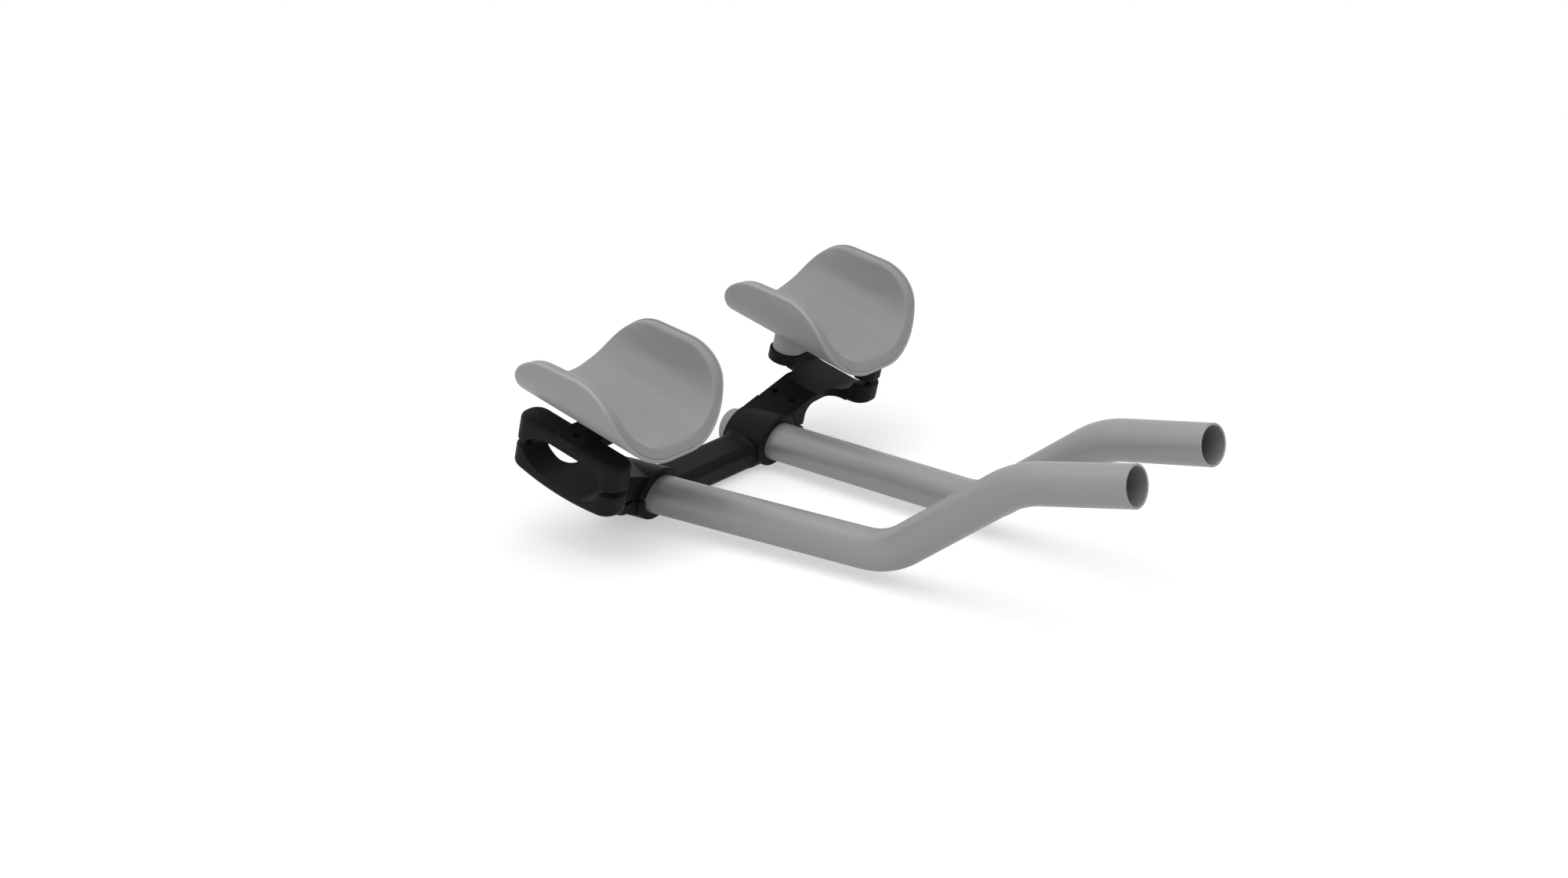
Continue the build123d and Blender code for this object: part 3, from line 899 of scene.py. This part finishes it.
class EXTENSION_OT_cups(bpy.types.Operator):
    """Finish the armrest cups in moulded grey"""

    bl_idname = "extension.cups"
    bl_label = "Armrest Cups"
    bl_options = {"REGISTER", "UNDO"}

    def execute(self, context):
        material = cup_grey(context.scene.finish_settings)
        for side in SIDES:
            dress(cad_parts[f"{side}_armrest_cup"], material)
        return {"FINISHED"}


class EXTENSION_OT_cushions(bpy.types.Operator):
    """Make the soft cushions that line the armrest cups"""

    bl_idname = "extension.cushions"
    bl_label = "Armrest Cushions"
    bl_options = {"REGISTER", "UNDO"}

    def execute(self, context):
        sizes = context.scene.armrest_settings
        material = cushion_grey(context.scene.finish_settings)
        for side in SIDES:
            mesh, held = cushion_mesh(sizes, side)
            cushion = bpy.data.objects.new(f"{side}_armrest_cushion", mesh)
            context.scene.collection.objects.link(cushion)
            select_only(cushion)
            bpy.ops.object.mode_set(mode="EDIT")
            bpy.ops.mesh.select_all(action="SELECT")
            bpy.ops.mesh.normals_make_consistent(inside=False)
            bpy.ops.object.mode_set(mode="OBJECT")
            inflate(cushion, sizes, held)
            apply_modifier(cushion, "SUBSURF", levels=1, render_levels=1)
            bpy.ops.object.shade_smooth()
            dress(cushion, material)
            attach(cushion, "root")
            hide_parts(f"{side}_armrest_pad")
        return {"FINISHED"}


class EXTENSION_OT_strips(bpy.types.Operator):
    """Finish the hook-and-loop strips under the cushions"""

    bl_idname = "extension.strips"
    bl_label = "Cushion Strips"
    bl_options = {"REGISTER", "UNDO"}

    def execute(self, context):
        material = strip_black(context.scene.finish_settings)
        for side in SIDES:
            dress(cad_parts[f"{side}_pad_strips"], material)
        return {"FINISHED"}


class EXTENSION_OT_screws(bpy.types.Operator):
    """Finish the screws in oxide black and their washers in zinc"""

    bl_idname = "extension.screws"
    bl_label = "Screws and Washers"
    bl_options = {"REGISTER", "UNDO"}

    def execute(self, context):
        colours = context.scene.finish_settings
        black = screw_black(colours)
        zinc = washer_zinc(colours)
        for side in SIDES:
            for kind in ("bar_clamp_bolts", "bridge_bolts", "armrest_bolts"):
                dress(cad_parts[f"{side}_{kind}"], black)
            dress(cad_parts[f"{side}_armrest_washers"], zinc)
        return {"FINISHED"}


def seen_directly(finish):
    """1 for rays from the camera, mirrors and glass, 0 for rays that light a surface."""
    camera, glossy, clear = (
        finish.node("ShaderNodeLightPath", out=f"Is {kind} Ray")
        for kind in ("Camera", "Glossy", "Transmission")
    )
    return (camera + glossy + clear).between(0.0, 1.0)


def floor_white(studio):
    """Matt floor that holds the shadow near the extension and turns plain white further out."""
    finish = new_finish("studio_floor")
    matt = finish.node("ShaderNodeBsdfDiffuse", None, {"Color": FLOOR_PALE})
    glow = finish.node("ShaderNodeEmission", None, {"Color": WHITE, "Strength": studio.floor_lift})
    lifted = finish.node("ShaderNodeAddShader", None, {0: matt, 1: glow})
    plain = finish.node("ShaderNodeEmission", None, {"Color": WHITE, "Strength": PLAIN_WHITE})
    distance = finish.node("ShaderNodeVectorMath", {"operation": "LENGTH"}, {0: finish.place()}, "Value")
    run = (distance - studio.floor_near) / (studio.floor_far - studio.floor_near)
    run = run.between(0.0, 1.0)
    eased = run * run * (3 - 2 * run)
    shown = finish.node("ShaderNodeMixShader", None, {0: eased, 1: lifted, 2: plain})
    surface = finish.node("ShaderNodeMixShader", None, {0: seen_directly(finish), 1: matt, 2: shown})
    finish.node("ShaderNodeOutputMaterial", None, {"Surface": surface})
    return finish.owner


def area_lamp(name, place, aim, size, power):
    """Adds a rectangular soft lamp that faces the aim."""
    lamp = bpy.data.lights.new(name, "AREA")
    lamp.shape = "RECTANGLE"
    lamp.size, lamp.size_y = size
    lamp.energy = power
    holder = bpy.data.objects.new(name, lamp)
    bpy.context.scene.collection.objects.link(holder)
    holder.location = place
    holder.rotation_euler = (Vector(aim) - Vector(place)).to_track_quat("-Z", "Y").to_euler()


class EXTENSION_OT_studio(bpy.types.Operator):
    """Set up the floor, the lamps and the camera"""

    bl_idname = "extension.studio"
    bl_label = "Studio"
    bl_options = {"REGISTER", "UNDO"}

    def execute(self, context):
        studio = context.scene.studio_settings
        scene = context.scene
        low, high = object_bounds()
        middle = (low + high) / 2

        bpy.ops.object.select_all(action="DESELECT")
        bpy.ops.mesh.primitive_plane_add(
            size=studio.floor_size, location=(middle.x, middle.y, low.z - studio.floor_gap)
        )
        floor = context.object
        floor.name = "studio_floor"
        dress(floor, floor_white(studio))
        floor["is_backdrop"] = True

        sky = Finish(scene.world or bpy.data.worlds.new("studio_sky"))
        scene.world = sky.owner
        light = sky.node("ShaderNodeBackground", None, {"Color": WHITE, "Strength": studio.sky})
        backdrop = sky.node("ShaderNodeBackground", None, {"Color": WHITE, "Strength": PLAIN_WHITE})
        both = sky.node("ShaderNodeMixShader", None, {0: seen_directly(sky), 1: light, 2: backdrop})
        sky.node("ShaderNodeOutputWorld", None, {"Surface": both})

        area_lamp("overhead_lamp", studio.key_place, middle, studio.key_size, studio.key_power)
        area_lamp("side_lamp", studio.fill_place, middle, studio.fill_size, studio.fill_power)

        lens = bpy.data.cameras.new("view")
        lens.lens = studio.lens
        lens.sensor_width = SENSOR_WIDTH
        lens.sensor_fit = "HORIZONTAL"
        lens.clip_start = CLIP_NEAR
        lens.clip_end = CLIP_FAR
        camera = bpy.data.objects.new("view", lens)
        scene.collection.objects.link(camera)
        camera.location = studio.camera_place
        camera.rotation_euler = studio.camera_turn
        scene.camera = camera
        scene.view_settings.view_transform = "Standard"
        return {"FINISHED"}


OPERATORS = (
    EXTENSION_OT_clamp_set,
    EXTENSION_OT_tubes,
    EXTENSION_OT_cups,
    EXTENSION_OT_cushions,
    EXTENSION_OT_strips,
    EXTENSION_OT_screws,
    EXTENSION_OT_studio,
)


class EXTENSION_PT_panel(bpy.types.Panel):
    """Lists the steps that dress the extension"""

    bl_idname = "EXTENSION_PT_panel"
    bl_label = "Aero Handlebar Extension"
    bl_space_type = "VIEW_3D"
    bl_region_type = "UI"
    bl_category = "Extension"

    def draw(self, context):
        for group in settings():
            box = self.layout.box()
            for name in group.__annotations__:
                box.prop(group, name)
        for step in OPERATORS:
            self.layout.operator(step.bl_idname)


GROUPS = {
    "armrest_settings": ArmrestSettings,
    "finish_settings": FinishSettings,
    "studio_settings": StudioSettings,
}


def register():
    for name, group in GROUPS.items():
        bpy.utils.register_class(group)
        setattr(bpy.types.Scene, name, bpy.props.PointerProperty(type=group))
    for step in OPERATORS:
        bpy.utils.register_class(step)
    bpy.utils.register_class(EXTENSION_PT_panel)


def unregister():
    bpy.utils.unregister_class(EXTENSION_PT_panel)
    for step in reversed(OPERATORS):
        bpy.utils.unregister_class(step)
    for name, group in GROUPS.items():
        delattr(bpy.types.Scene, name)
        bpy.utils.unregister_class(group)


def main():
    """Dresses the extension."""
    register()
    for step in OPERATORS:
        group, name = step.bl_idname.split(".")
        getattr(getattr(bpy.ops, group), name)()


if __name__ == "__main__":
    main()
